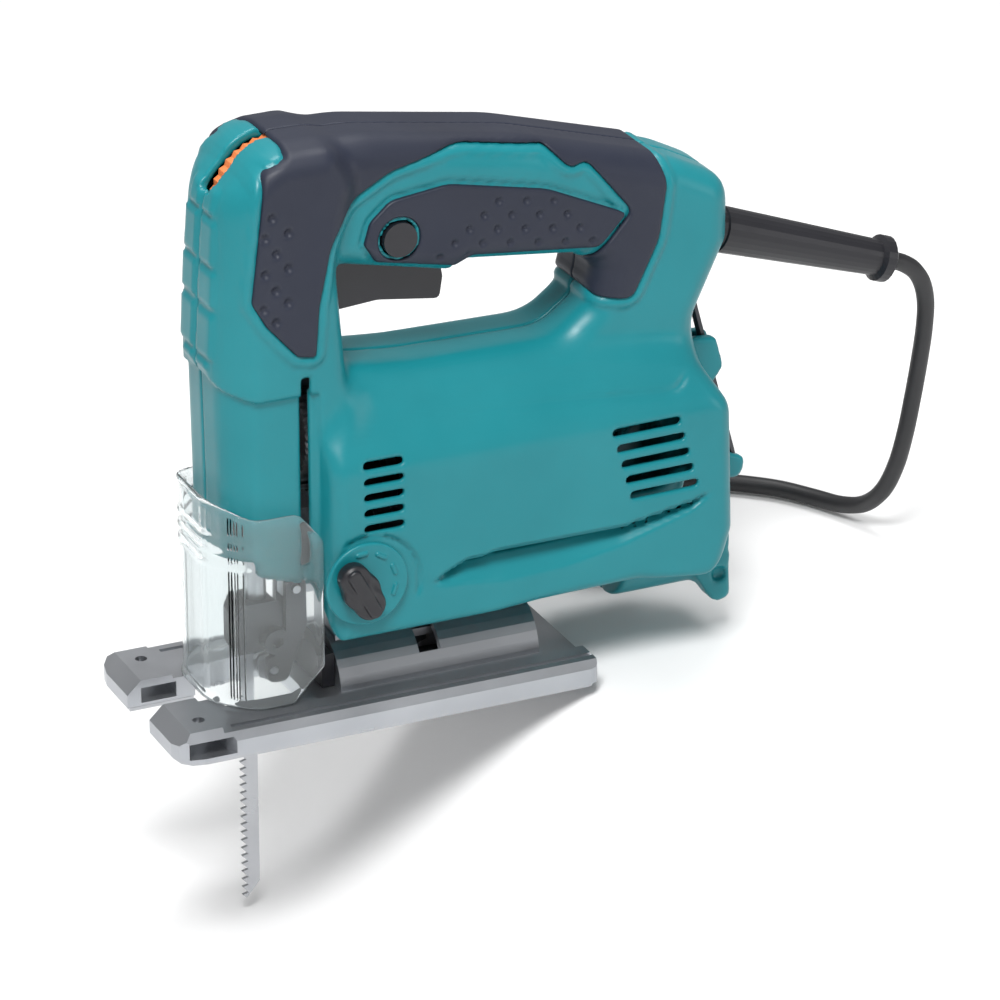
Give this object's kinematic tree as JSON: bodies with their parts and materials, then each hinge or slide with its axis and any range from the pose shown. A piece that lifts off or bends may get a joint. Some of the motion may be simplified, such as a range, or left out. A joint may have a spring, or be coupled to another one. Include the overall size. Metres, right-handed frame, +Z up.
{
  "type": "jigsaw power tool",
  "caption": "Corded jigsaw with a D-shaped handle, tilting sole plate, reciprocating blade, orbital guide roller and a sliding clear dust cover.",
  "frame": {"origin": "underside of the sole plate, on its centre line, 34 mm behind the back edge of the blade", "axes": "+X back towards the cord, -Y the side with the orbital selector, +Z up out of the work"},
  "size_m": [0.306, 0.1861, 0.2781],
  "materials": {
    "teal_plastic": "satin moulded",
    "soft_grip": "matt soft moulding",
    "black_plastic": "matt moulded",
    "orange_plastic": "ribbed moulded",
    "clear_plastic": "clear polished plastic",
    "cast_aluminium": "die-cast",
    "steel": "ground",
    "dark_steel": "blackened",
    "copper": "turned copper",
    "bronze": "sintered bronze",
    "carbon": "pressed carbon",
    "cord_rubber": "matt"
  },
  "bodies": {
    "housing": {"housing_left": "teal_plastic", "housing_right": "teal_plastic", "housing_screw_1": "dark_steel", "housing_screw_2": "dark_steel", "housing_screw_3": "dark_steel", "housing_screw_4": "dark_steel", "housing_screw_5": "dark_steel", "grip_left": "soft_grip", "grip_right": "soft_grip", "palm_panel_left": "soft_grip", "palm_panel_right": "soft_grip", "dial_pin": "dark_steel", "trigger_pin": "steel", "switch_unit": "black_plastic", "speed_controller": "black_plastic", "cord_clamp": "black_plastic", "orbit_scale_plate": "teal_plastic", "field_core": "dark_steel", "bearing_front": "steel", "bearing_rear": "steel", "brush_holder_left": "bronze", "brush_holder_right": "bronze", "brush_left": "carbon", "brush_right": "carbon", "gear_housing": "cast_aluminium", "slider_bush_upper": "bronze", "slider_bush_lower": "bronze", "gear_pin": "dark_steel", "roller_arm_pin": "steel", "saddle_block": "cast_aluminium", "bevel_clamp_plate": "steel", "cord_guard": "black_plastic", "cord_run": "cord_rubber", "cord_coil": "cord_rubber", "plug": "black_plastic", "plug_pin_1": "steel", "plug_pin_2": "steel"},
    "base": {"base_plate": "cast_aluminium", "sole_cover": "steel", "dust_seal": "black_plastic"},
    "trigger": {"trigger": "black_plastic"},
    "lock_button": {"lock_button": "black_plastic"},
    "speed_dial": {"speed_dial": "orange_plastic"},
    "orbit_lever": {"orbit_lever": "black_plastic"},
    "armature": {"armature_shaft": "steel", "armature_core": "dark_steel", "commutator": "copper", "cooling_fan": "black_plastic"},
    "crank": {"crank_gear": "steel"},
    "slider": {"slider_rod": "steel", "scotch_yoke": "dark_steel", "blade_holder": "dark_steel", "blade": "steel"},
    "clamp_bolt": {"blade_clamp_bolt": "dark_steel"},
    "roller_arm": {"roller_arm": "dark_steel", "guide_roller_pin": "steel"},
    "guide_roller": {"guide_roller": "steel"},
    "cover": {"clear_cover": "clear_plastic"},
    "hex_key": {"hex_key": "dark_steel"},
    "bevel_bolt": {"bevel_bolt": "dark_steel"}
  },
  "joints": [
    {"name": "base_tilt", "type": "hinge", "parent": "housing", "child": "base", "pos_m": [0, 0, 0.005], "axis": [1, 0, 0], "range_deg": [0, 45]},
    {"name": "cover_slide", "type": "slide", "parent": "housing", "child": "cover", "axis": [0, 0, 1], "range_m": [0, 0.034]},
    {"name": "trigger_pull", "type": "hinge", "parent": "housing", "child": "trigger", "pos_m": [-0.002, 0, 0.1633], "axis": [0, -1, 0], "range_deg": [0, 8], "stiffness_Nm_per_rad": 0.8, "springref_deg": -6.88},
    {"name": "lock_push", "type": "slide", "parent": "housing", "child": "lock_button", "axis": [0, 1, 0], "range_m": [0, 0.003], "stiffness_N_per_m": 600, "springref_m": -0.001},
    {"name": "dial_turn", "type": "hinge", "parent": "housing", "child": "speed_dial", "pos_m": [-0.0225, 0, 0.1788], "axis": [0, 1, 0], "range_deg": [-70, 70]},
    {"name": "orbit_select", "type": "hinge", "parent": "housing", "child": "orbit_lever", "pos_m": [-0.0114, -0.036, 0.0533], "axis": [0, 1, 0], "range_deg": [0, 100]},
    {"name": "blade_stroke", "type": "slide", "parent": "housing", "child": "slider", "axis": [0, 0, 1], "range_m": [0, 0.018]},
    {"name": "clamp_bolt_turn", "type": "hinge", "parent": "slider", "child": "clamp_bolt", "pos_m": [-0.03, 0, 0.026], "axis": [0, 1, 0], "range_deg": [-180, 180]},
    {"name": "armature_spin", "type": "hinge", "parent": "housing", "child": "armature", "pos_m": [0, 0, 0.078], "axis": [1, 0, 0], "continuous": true},
    {"name": "crank_spin", "type": "hinge", "parent": "housing", "child": "crank", "pos_m": [-0.018, 0, 0.1005], "axis": [1, 0, 0], "continuous": true},
    {"name": "guide_swing", "type": "hinge", "parent": "housing", "child": "roller_arm", "pos_m": [-0.021, 0, 0.042], "axis": [0, -1, 0], "range_deg": [0, 4]},
    {"name": "roller_spin", "type": "hinge", "parent": "roller_arm", "child": "guide_roller", "pos_m": [-0.0291, 0, 0.013], "axis": [0, 1, 0], "continuous": true},
    {"name": "hex_key_pull", "type": "slide", "parent": "housing", "child": "hex_key", "axis": [1, 0, 0], "range_m": [0, 0.03]},
    {"name": "bevel_bolt_turn", "type": "hinge", "parent": "housing", "child": "bevel_bolt", "pos_m": [0.024, 0, 0.02], "axis": [0, 0, 1], "range_deg": [-180, 180]}
  ],
  "couplings": [
    {"joint": "crank_spin", "follows": "armature_spin", "ratio": -0.12766},
    {"joint": "cover_slide", "follows": "base_tilt", "m_per_rad": 0.0432}
  ]
}
